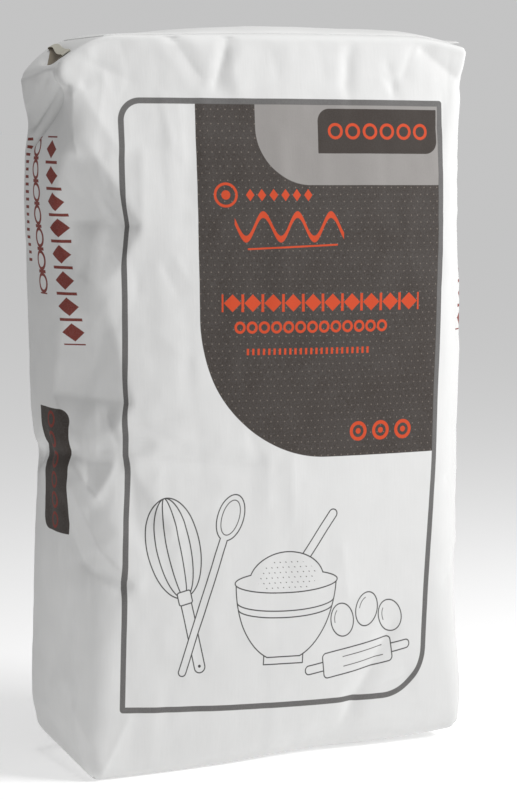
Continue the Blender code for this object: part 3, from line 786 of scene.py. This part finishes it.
PAPER = (0.72, 0.72, 0.715)
PAPER_SHADE = (0.66, 0.66, 0.655)
SLEEVE_PAPER = (0.56, 0.54, 0.46)
# Inside of the sleeve: the inner kraft ply's own brown, made darker as painted shade for the deep
# mouth of the valve
SLEEVE_BROWN_AND_SHADE = (0.30, 0.26, 0.20)
GREY_INK = (0.130, 0.126, 0.124)
GREY_FIELD = (0.300, 0.285, 0.275)
DARK_INK = (0.044, 0.035, 0.030)
DOT_INK = (0.170, 0.145, 0.125)
ORANGE_INK = (0.60, 0.068, 0.020)
# Red ink of the side print, made darker with painted shade, as the side in shadow shows it
SIDE_RED_AND_SHADE = (0.20, 0.036, 0.027)
LINE_INK = (0.045, 0.043, 0.042)

# Roughness and gloss
PAPER_SURFACE = (0.70, 0.22)
SLEEVE_SURFACE = (0.7, 0.3)
FLOOR_SURFACE = (1.0, 0.0)

# Scale and detail of the noises in the papers, and the shares in which they are mixed
FIBRES = (520.0, 2.0)
FIBRE_STRETCH = (1.0, 1.0, 0.09)
CLOUDS = (26.0, 3.0)
SPECKS = (900.0, 1.0)
WRINKLES = (34.0, 2.0)
SLEEVE_FIBRES = (420.0, 3.0)
SLEEVE_SHADE = 0.82
SHADE_MIX = {"clouds": 0.9, "fibres": 0.35, "start": -0.1}
INK_MIX = {"clouds": 0.05, "specks": 0.10, "start": 0.90}
GRAIN_HEIGHTS = {"fibres": 0.00006, "wrinkles": 0.00010, "clouds": 0.0004}


class Field:
    """A number that varies over a surface, worked out by Math nodes."""

    def __init__(self, tree, socket):
        self.tree = tree
        self.socket = socket

    def math(self, operation, *others, clamp=False):
        node = self.tree.nodes.new("ShaderNodeMath")
        node.operation = operation
        node.use_clamp = clamp
        for socket, value in zip(node.inputs, (self, *others)):
            if isinstance(value, Field):
                self.tree.links.new(value.socket, socket)
            else:
                socket.default_value = value
        return Field(self.tree, node.outputs[0])

    def __add__(self, other):
        return self.math("ADD", other)

    def __sub__(self, other):
        return self.math("SUBTRACT", other)

    def __mul__(self, other):
        return self.math("MULTIPLY", other)

    def __truediv__(self, other):
        return self.math("DIVIDE", other)

    def __abs__(self):
        return self.math("ABSOLUTE")

    def lower(self, other):
        return self.math("MINIMUM", other)

    def higher(self, other):
        return self.math("MAXIMUM", other)

    def below(self, other):
        return self.math("LESS_THAN", other)


# Shapes of the print. Each gives the distance from the shape's edge, negative inside it.

def span(across, high):
    return (across * across + high * high).math("SQRT")


def stroke(distance, half_width):
    return abs(distance) - half_width


def disc(x, y, centre, radius):
    return span(x - centre[0], y - centre[1]) - radius


def spot(x, y, radius):
    return span(x, y) - radius


def ring(x, y, radius, half_width):
    return stroke(span(x, y) - radius, half_width)


def gem(x, y, steepness, half_height):
    return abs(x) * steepness + abs(y) - half_height


def bar(x, y, half_width, half_height):
    return (abs(x) - half_width).higher(abs(y) - half_height)


def block(x, y, low, far, radius=0.0):
    """A rectangle with round corners, from its low corner to its far one."""
    centre = [(a + b) / 2.0 for a, b in zip(low, far)]
    half = [(b - a) / 2.0 for a, b in zip(low, far)]
    if isinstance(radius, Field):
        past_x = abs(x - centre[0]) - half[0] + radius
        past_y = abs(y - centre[1]) - half[1] + radius
    else:
        past_x = abs(x - centre[0]) - (half[0] - radius)
        past_y = abs(y - centre[1]) - (half[1] - radius)
    outside = span(past_x.higher(0.0), past_y.higher(0.0))
    return outside + past_x.higher(past_y).lower(0.0) - radius


def cut_plate(x, y, plate, round_corner):
    """A rectangle with its top left and bottom right corners rounded."""
    middle = [(a + b) / 2.0 for a, b in zip(*plate)]
    is_round = ((x - middle[0]) * (y - middle[1])).below(0.0)
    return block(x, y, *plate, is_round * round_corner + SHARP_CORNER)


def turned(x, y, centre, degrees):
    """Coordinates about a centre, turned anticlockwise."""
    cosine = math.cos(math.radians(degrees))
    sine = math.sin(math.radians(degrees))
    from_x = x - centre[0]
    from_y = y - centre[1]
    return from_x * cosine + from_y * sine, from_y * cosine - from_x * sine


def oval(x, y, centre, radii):
    """An ellipse. The distance is true near its edge."""
    share_x = (x - centre[0]) / radii[0]
    share_y = (y - centre[1]) / radii[1]
    reach = span(share_x, share_y)
    slope = span(share_x / radii[0], share_y / radii[1])
    return (reach - 1.0) * reach / slope


def repeated(x, start, pitch):
    """Coordinate that starts again at each step of a row, 0 in the middle of the step."""
    return ((x - start) / pitch).math("FRACT") * pitch - pitch / 2.0


def trimmed(shapes, along, middle, half):
    """Shapes cut off beyond half a length each way from their middle."""
    return shapes.higher(abs(along - middle) - half)


def row_across(x, y, shape, size, start, pitch, up, middle, half):
    """A row of one shape, as its table gives it."""
    return trimmed(shape(repeated(x, start, pitch), y - up, *size), x, middle, half)


def row_down(x, y, shape, size, start, pitch, across, middle, half):
    """The same, but down the print."""
    return trimmed(shape(x - across, repeated(y, start, pitch), *size), y, middle, half)


def joined(shapes):
    """Several shapes as one."""
    whole = shapes[0]
    for shape in shapes[1:]:
        whole = whole.lower(shape)
    return whole


def cover(distance):
    """1 where a shape inks the paper."""
    return distance.math("MULTIPLY_ADD", -1.0 / INK_EDGE, 0.5, clamp=True)


def lay(tree, under, colour, mask):
    """One colour laid over another where the mask is 1. Each is three numbers or a socket."""
    mix = tree.nodes.new("ShaderNodeMix")
    mix.data_type = "RGBA"
    tree.links.new(mask.socket, mix.inputs[0])
    for socket, source in ((mix.inputs[6], under), (mix.inputs[7], colour)):
        if isinstance(source, tuple):
            socket.default_value = (*source, 1.0)
        else:
            tree.links.new(source, socket)
    return mix.outputs[2]


# The print: frame, fields and plates

SHARP_CORNER = 0.0005
FRAME_HALF = (0.154, 0.2703)
FRAME_LINE = 0.0026
FRAME_TOP_LEFT = 0.018
FRAME_BOTTOM_RIGHT = 0.041
DRAWING_TOP = -0.060
FIELD_EDGE = (0.1520, 0.2683)
DARK_FIELD = (-0.086, -0.047)
DARK_CORNER = 0.125
GREY_CORNER = 0.052
GREY_PANEL = (-0.030, 0.196)
PLATE = ((0.030, 0.2245), (0.1500, 0.2645))
PLATE_CORNER = 0.011
DOT_PITCH = (0.0068, 0.0063)
DOT_RADIUS = 0.00062
SIDE_PLATE = ((-0.014, 0.215), (0.037, 0.325))
SIDE_CORNER = 0.0125
PLATE_LEAN = 0.18

# Rows of ornament on the fields, each cut off at its ends: its shape and that shape's size, where
# its steps start, their pitch, the row's height, its middle and half its length
FIELD_ROWS = (
    (ring, (0.0060, 0.0013), 0.0385, 0.0172, 0.2445, 0.0901, 0.0516),
    (gem, (1.35, 0.0055), -0.0425, 0.0112, 0.187, -0.0089, 0.0336),
    (gem, (0.95, 0.0078), -0.0650, 0.0196, 0.0910, 0.0330, 0.0984),
    (bar, (0.0013, 0.0078), -0.0748, 0.0196, 0.0910, 0.0330, 0.0984),
    (ring, (0.0042, 0.0012), -0.0540, 0.0118, 0.0695, 0.0227, 0.0768),
    (bar, (0.0011, 0.0028), -0.0430, 0.0052, 0.0480, 0.0194, 0.0624),
    (ring, (0.0072, 0.0016), 0.0600, 0.0235, -0.0250, 0.09525, 0.0353),
    (spot, (0.0026,), 0.0600, 0.0235, -0.0250, 0.09525, 0.0353),
)
TARGET = (-0.060, 0.187)
TARGET_RING = (0.0100, 0.0012)
TARGET_SPOT = 0.0042
WAVE = (0.1585, 0.001, 0.053)   # its height, its middle and half its length
WAVE_SWING = (190.0, 0.0110)    # turn for each metre, and rise
WAVE_LINE = (0.0030, 0.55)      # half its upright width, and that line's slope
TAIL = ((0.004, 0.1405), 2.5)
TAIL_LINE = ((-0.044, -0.0008), (0.044, 0.0008), 0.0007)

# Rows of ornament down the side, as above, but each with its place across for its height
SIDE_ROWS = (
    (gem, (0.80, 0.0080), SIDE_TOP, 0.0225, -0.026, 0.471, 0.0900),
    (bar, (0.0105, 0.0013), 0.5497, 0.0225, -0.026, 0.471, 0.0900),
    (ring, (0.0075, 0.0015), SIDE_TOP, 0.0196, 0.008, 0.4925, 0.0686),
    (bar, (0.0070, 0.0014), 0.5512, 0.0196, 0.008, 0.4925, 0.0686),
    (bar, (0.0042, 0.0013), SIDE_TOP, 0.0066, 0.036, 0.504, 0.0561),
)
SIDE_RINGS = (ring, (0.0062, 0.0013), 0.2160, 0.0180, 0.0115, 0.270, 0.0535)

# The line drawing. A handle, collar or other block is its low corner, its far one and its round.
DRAWN_LINE = 0.00055        # half the width of the drawing's lines
INNER_LINE = 0.8 * DRAWN_LINE
FINE_LINE = 0.7 * DRAWN_LINE
WHISK = ((-0.100, -0.158), 15.0)
WHISK_HANDLE = ((-0.0052, -0.082), (0.0052, -0.012), 0.0052)
WHISK_COLLAR = ((-0.0066, -0.018), (0.0066, -0.006), 0.002)
WHISK_HOLE = ((0.0, -0.076), 0.0014)
WHISK_HEAD = (0.0, 0.034)
WHISK_WIRES = ((0.0250, 0.046), (0.0160, 0.046), (0.0062, 0.046))
SPOON = ((-0.072, -0.154), -17.0)
SPOON_HANDLE = ((-0.0036, -0.090), (0.0036, 0.050), 0.0036)
SPOON_HEAD = (0.0, 0.058)
SPOON_OUTSIDE = (0.0130, 0.0210)
SPOON_INSIDE = (0.0085, 0.0160)
SCOOP = ((0.028, -0.128), -35.0)
SCOOP_HANDLE = ((-0.0042, -0.036), (0.0042, 0.040), 0.0042)
BOWL = (0.004, -0.158)
BOWL_FOOT = ((-0.020, -0.0745), (0.020, -0.060))
BOWL_BODY = (0.051, 0.072)
BOWL_DEPTH = 0.068
BOWL_STRIPES = ((0.017, 0.0495), (0.023, 0.0483))
STRIPE_SAG = 0.0095
HEAP_TOP = (0.038, 0.027)
HEAP_RIM = (0.052, 0.010)
GRAIN_PITCH = (0.0058, 0.0046)
GRAIN_SLANT = 0.7
GRAIN_RADIUS = 0.00055
GRAINS = ((0.0, 0.004), (0.030, 0.016))
EGGS = (((0.064, -0.196), 18.0), ((0.090, -0.188), -8.0), ((0.116, -0.196), 30.0))
EGG = (0.0118, 0.0155)
EGG_SHINE = (0.0078, 0.0112)
SHINE_PART = (0.0065, 0.0035)
ROLLING_PIN = ((0.083, -0.232), 9.0)
PIN_HANDLES = ((-0.056, -0.0040), (0.056, 0.0040), 0.0038)
PIN_BARREL = ((-0.037, -0.0115), (0.037, 0.0115), 0.0040)
PIN_GRAIN = (0.0045, 0.006, 0.022)
ORIGIN = (0.0, 0.0)


def frame_line(x, y, at_left, at_right):
    """The printed frame, with a round corner of each side's own radius."""
    radius = x.below(0.0) * (at_left - at_right) + at_right
    corner = block(x, y, (-FRAME_HALF[0], -FRAME_HALF[1]), FRAME_HALF, radius)
    return stroke(corner, FRAME_LINE)


def print_fields(tree, colour, x, y, worn):
    """The upper part: fields of colour, a plate, a grid of dots and rows of plain ornament."""
    grey = block(x, y, GREY_PANEL, (FIELD_EDGE[0] + GREY_CORNER, FIELD_EDGE[1] + GREY_CORNER),
                 GREY_CORNER)
    inside = x.below(FIELD_EDGE[0]) * y.below(FIELD_EDGE[1])
    dark = block(x, y, DARK_FIELD, (FIELD_EDGE[0] + DARK_CORNER, FIELD_EDGE[1] + DARK_CORNER),
                 DARK_CORNER)
    on_dark = cover(dark) * inside
    on_grey = cover(grey) * inside
    colour = lay(tree, colour, DARK_INK, on_dark * worn)

    row = (y + 1.0) / DOT_PITCH[1]
    shift = row.math("FLOOR").math("MODULO", 2.0) * (DOT_PITCH[0] / 2.0)
    dots = span(repeated(x + shift, 0.0, DOT_PITCH[0]), repeated(y, -1.0, DOT_PITCH[1]))
    colour = lay(tree, colour, DOT_INK, cover(dots - DOT_RADIUS) * on_dark)
    colour = lay(tree, colour, GREY_FIELD, on_grey * worn)
    colour = lay(tree, colour, DARK_INK, cover(cut_plate(x, y, PLATE, PLATE_CORNER)) * worn)

    wave = y - (x * WAVE_SWING[0]).math("SINE") * WAVE_SWING[1] - WAVE[0]
    shapes = [ring(x - TARGET[0], y - TARGET[1], *TARGET_RING),
              disc(x, y, TARGET, TARGET_SPOT), block(*turned(x, y, *TAIL), *TAIL_LINE),
              trimmed(stroke(wave, WAVE_LINE[0]) * WAVE_LINE[1], x, *WAVE[1:])]
    accents = joined(shapes + [row_across(x, y, *row) for row in FIELD_ROWS])
    colour = lay(tree, colour, ORANGE_INK, cover(accents) * worn)

    line = frame_line(x, y, FRAME_TOP_LEFT, SHARP_CORNER)
    return lay(tree, colour, GREY_INK, cover(line) * worn)


def in_front(lines, shape):
    """Lines with a shape laid over them, and the shape's own outline."""
    return lines.higher(shape * -1.0).lower(stroke(shape, DRAWN_LINE))


def print_drawing(tree, colour, x, y, worn):
    """The lower part: the frame's foot and a line drawing of baking things."""
    u, v = turned(x, y, *WHISK)
    lines = stroke(block(u, v, *WHISK_HANDLE), DRAWN_LINE)
    for radii in WHISK_WIRES:
        lines = lines.lower(stroke(oval(u, v, WHISK_HEAD, radii), DRAWN_LINE))
    lines = in_front(lines, block(u, v, *WHISK_COLLAR))
    lines = lines.lower(disc(u, v, *WHISK_HOLE))

    u, v = turned(x, y, *SPOON)
    spoon = block(u, v, *SPOON_HANDLE).lower(oval(u, v, SPOON_HEAD, SPOON_OUTSIDE))
    lines = in_front(lines, spoon)
    lines = lines.lower(stroke(oval(u, v, SPOON_HEAD, SPOON_INSIDE), INNER_LINE))

    u, v = turned(x, y, *SCOOP)
    lines = in_front(lines, block(u, v, *SCOOP_HANDLE))
    u = x - BOWL[0]
    v = y - BOWL[1]
    lines = in_front(lines, block(u, v, *BOWL_FOOT))
    body = oval(u, v, ORIGIN, BOWL_BODY).higher(v).higher((v + BOWL_DEPTH) * -1.0)
    lines = in_front(lines, body)
    for drop, reach in BOWL_STRIPES:
        stripe = stroke(oval(u, v, (0.0, -drop), (reach, STRIPE_SAG)), DRAWN_LINE)
        lines = lines.lower(stripe.higher(v + drop))
    heap = oval(u, v, ORIGIN, HEAP_TOP).higher(v * -1.0).lower(oval(u, v, ORIGIN, HEAP_RIM))
    lines = in_front(lines, heap)
    grains = span(repeated(x + y * GRAIN_SLANT, 0.0, GRAIN_PITCH[0]),
                  repeated(y, 0.0, GRAIN_PITCH[1])) - GRAIN_RADIUS
    lines = lines.lower(grains.higher(oval(u, v, *GRAINS)))

    for egg in EGGS:
        u, v = turned(x, y, *egg)
        lines = in_front(lines, oval(u, v, ORIGIN, EGG))
        shine = stroke(oval(u, v, ORIGIN, EGG_SHINE), FINE_LINE)
        shine = shine.higher(abs(u + SHINE_PART[0]) - SHINE_PART[1]).higher(v * -1.0)
        lines = lines.lower(shine)
    u, v = turned(x, y, *ROLLING_PIN)
    lines = in_front(lines, block(u, v, *PIN_HANDLES))
    lines = in_front(lines, block(u, v, *PIN_BARREL))
    grain = stroke(abs(v) - PIN_GRAIN[0], FINE_LINE)
    lines = lines.lower(trimmed(grain, u, *PIN_GRAIN[1:]))
    colour = lay(tree, colour, LINE_INK, cover(lines) * worn)

    line = frame_line(x, y, SHARP_CORNER, FRAME_BOTTOM_RIGHT)
    return lay(tree, colour, GREY_INK, cover(line) * worn)


def print_side(tree, colour, x, y, worn):
    """The side: rows of ornament down the panel, and a dark plate below them."""
    accents = joined([row_down(x, y, *row) for row in SIDE_ROWS])
    # The side's red ink holds painted shade as well as its own colour
    colour = lay(tree, colour, SIDE_RED_AND_SHADE, cover(accents) * worn)
    x = x - (y * -1.0 + SIDE_PLATE[1][1]) * PLATE_LEAN
    colour = lay(tree, colour, DARK_INK, cover(cut_plate(x, y, SIDE_PLATE, SIDE_CORNER)) * worn)
    return lay(tree, colour, SIDE_RED_AND_SHADE, cover(row_down(x, y, *SIDE_RINGS)) * worn)


def new_material(name, roughness, gloss):
    """A material, its node tree and its shader."""
    material = bpy.data.materials.new(name)
    material.use_nodes = True
    shader = material.node_tree.nodes["Principled BSDF"]
    shader.inputs["Roughness"].default_value = roughness
    shader.inputs["Specular IOR Level"].default_value = gloss
    return material, material.node_tree, shader


def paper_material(name, draw=None):
    """White kraft paper with fibres and fine creases, and the print that lies on it."""
    material, tree, shader = new_material(name, *PAPER_SURFACE)
    grain = tree.nodes.new("ShaderNodeGroup")
    grain.node_tree = paper_grain()
    tree.links.new(grain.outputs["Normal"], shader.inputs["Normal"])
    colour = grain.outputs["Colour"]
    if draw:
        place = tree.nodes.new("ShaderNodeUVMap")
        place.uv_map = PRINT_MAP
        parts = tree.nodes.new("ShaderNodeSeparateXYZ")
        tree.links.new(place.outputs["UV"], parts.inputs[0])
        x = Field(tree, parts.outputs[0])
        y = Field(tree, parts.outputs[1])
        worn = Field(tree, grain.outputs["Ink"])
        colour = draw(tree, colour, x, y, worn)
    tree.links.new(colour, shader.inputs["Base Color"])
    return material


def sleeve_material(name, paper):
    """Inner paper of the valve: unbleached and duller."""
    material, tree, shader = new_material(name, *SLEEVE_SURFACE)
    place = tree.nodes.new("ShaderNodeTexCoord").outputs["Object"]
    fibres = noise(tree, place, SLEEVE_FIBRES)
    colour = lay(tree, tuple(SLEEVE_SHADE * part for part in paper), paper, fibres)
    tree.links.new(colour, shader.inputs["Base Color"])
    return material


def noise(tree, vector, scale_and_detail, kind="FBM"):
    """A noise texture's value."""
    texture = tree.nodes.new("ShaderNodeTexNoise")
    texture.noise_type = kind
    for name, value in zip(("Scale", "Detail"), scale_and_detail):
        texture.inputs[name].default_value = value
    tree.links.new(vector, texture.inputs["Vector"])
    return Field(tree, texture.outputs[0])


def paper_grain():
    """Node group of the bare paper: its colour, the evenness of its ink and its fine relief."""
    if "paper_grain" in bpy.data.node_groups:
        return bpy.data.node_groups["paper_grain"]
    tree = bpy.data.node_groups.new("paper_grain", "ShaderNodeTree")
    for name, kind in (("Colour", "NodeSocketColor"), ("Ink", "NodeSocketFloat"),
                       ("Normal", "NodeSocketVector")):
        tree.interface.new_socket(name, in_out="OUTPUT", socket_type=kind)
    result = tree.nodes.new("NodeGroupOutput")
    place = tree.nodes.new("ShaderNodeTexCoord").outputs["Object"]
    stretch = tree.nodes.new("ShaderNodeVectorMath")
    stretch.operation = "MULTIPLY"
    stretch.inputs[1].default_value = FIBRE_STRETCH
    tree.links.new(place, stretch.inputs[0])
    fibres = noise(tree, stretch.outputs[0], FIBRES)
    clouds = noise(tree, place, CLOUDS)
    specks = noise(tree, place, SPECKS)

    shade = clouds * SHADE_MIX["clouds"] + fibres * SHADE_MIX["fibres"]
    shade = shade.math("ADD", SHADE_MIX["start"], clamp=True)
    tree.links.new(lay(tree, PAPER_SHADE, PAPER, shade), result.inputs["Colour"])

    ink = clouds * INK_MIX["clouds"] + specks * INK_MIX["specks"]
    ink = ink.math("ADD", INK_MIX["start"], clamp=True)
    tree.links.new(ink.socket, result.inputs["Ink"])

    wrinkles = noise(tree, place, WRINKLES, "RIDGED_MULTIFRACTAL")
    height = (fibres * GRAIN_HEIGHTS["fibres"] + wrinkles * GRAIN_HEIGHTS["wrinkles"]
              + clouds * GRAIN_HEIGHTS["clouds"])
    bump = tree.nodes.new("ShaderNodeBump")
    bump.inputs["Strength"].default_value = 1.0
    bump.inputs["Distance"].default_value = 1.0
    tree.links.new(height.socket, bump.inputs["Height"])
    tree.links.new(bump.outputs["Normal"], result.inputs["Normal"])
    return tree


# Stage, light and camera

LOOK_AZIMUTH = -25.84
LOOK_PITCH = 6.62
LOOK_DISTANCE = 2.372
LOOK_HEIGHT = 0.3196
LOOK_RIGHT = 0.0115
PICTURE_HEIGHT_PX = 800
FOCAL_LENGTH_PX = 2600
SENSOR = 36.0
FLOOR_REACH = 40.0
FLOOR_WHITE = 0.85
FLOOR_GLOW = 0.38           # light of its own, as a lit sweep of paper has
STUDIO_LIGHT = 0.20         # light that comes from all round
MIDDLE_UP = HEIGHT / 2.0
LAMPS = {
    "key": {"watts": 32.5, "way": (50.0, 27.0), "distance": 2.00, "size": 0.8, "aim": MIDDLE_UP},
    "bounce": {"watts": 0.24, "way": (-75.0, 0.0), "distance": 0.50, "size": 0.3, "aim": 0.02},
    "top": {"watts": 5.0, "way": (-90.0, 80.0), "distance": 0.90, "size": 0.5, "aim": HEIGHT},
}


def direction(azimuth, elevation):
    """Way out from the object: azimuth 0 is the front, 90 the right side."""
    a = math.radians(azimuth)
    e = math.radians(elevation)
    return Vector((math.sin(a) * math.cos(e), -math.cos(a) * math.cos(e), math.sin(e)))


def look_in(piece, way):
    """Turn a camera or a lamp to look back down the way out to it."""
    piece.rotation_mode = "QUATERNION"
    piece.rotation_quaternion = (-way).to_track_quat("-Z", "Y")


def make_camera():
    """A camera at the photograph's viewing angle."""
    back = direction(LOOK_AZIMUTH, LOOK_PITCH)
    right = direction(LOOK_AZIMUTH + 90.0, 0.0)
    data = bpy.data.cameras.new("camera")
    data.sensor_width = SENSOR
    data.lens = FOCAL_LENGTH_PX * SENSOR / PICTURE_HEIGHT_PX
    camera = new_object("camera", data)
    camera.location = Vector((0.0, 0.0, LOOK_HEIGHT)) + right * LOOK_RIGHT + back * LOOK_DISTANCE
    look_in(camera, back)
    bpy.context.scene.camera = camera


def make_lamps():
    """A wide soft light at the front's right, a weak low one by the left side, and one above."""
    for name, lamp in LAMPS.items():
        data = bpy.data.lights.new(name, "AREA")
        data.energy = lamp["watts"]
        data.size = lamp["size"]
        light = new_object(name, data)
        way = direction(*lamp["way"])
        light.location = Vector((0.0, 0.0, lamp["aim"])) + way * lamp["distance"]
        look_in(light, way)


def make_stage():
    """A plain pale floor that runs into the backdrop without a seam."""
    mesh = bpy.data.meshes.new("floor")
    corners = [(FLOOR_REACH * x, FLOOR_REACH * y, 0.0)
               for x, y in ((-1.0, -1.0), (1.0, -1.0), (1.0, 1.0), (-1.0, 1.0))]
    mesh.from_pydata(corners, [], [(0, 1, 2, 3)])
    material, _, shader = new_material("floor", *FLOOR_SURFACE)
    shader.inputs["Base Color"].default_value = (FLOOR_WHITE, FLOOR_WHITE, FLOOR_WHITE, 1.0)
    shader.inputs["Emission Color"].default_value = (1.0, 1.0, 1.0, 1.0)
    shader.inputs["Emission Strength"].default_value = FLOOR_GLOW
    mesh.materials.append(material)
    floor = new_object("floor", mesh)


def make_world():
    """Even light from all round, and a backdrop as bright as the far floor."""
    world = bpy.data.worlds.new("studio")
    world.use_nodes = True
    tree = world.node_tree
    light = tree.nodes["Background"]
    seen = tree.nodes.new("ShaderNodeBackground")
    for shader, strength in ((light, STUDIO_LIGHT),
                             (seen, FLOOR_GLOW + FLOOR_WHITE * STUDIO_LIGHT)):
        shader.inputs["Strength"].default_value = strength
        shader.inputs["Color"].default_value = (1.0, 1.0, 1.0, 1.0)
    mix = tree.nodes.new("ShaderNodeMixShader")
    ray = tree.nodes.new("ShaderNodeLightPath")
    tree.links.new(ray.outputs["Is Camera Ray"], mix.inputs[0])
    tree.links.new(light.outputs[0], mix.inputs[1])
    tree.links.new(seen.outputs[0], mix.inputs[2])
    tree.links.new(mix.outputs[0], tree.nodes["World Output"].inputs["Surface"])
    bpy.context.scene.world = world
    bpy.context.scene.view_settings.view_transform = "Standard"


make_sack()
make_top_cover()
make_valve_sleeve()
make_camera()
make_stage()
make_world()
make_lamps()

bpy.context.view_layer.update()
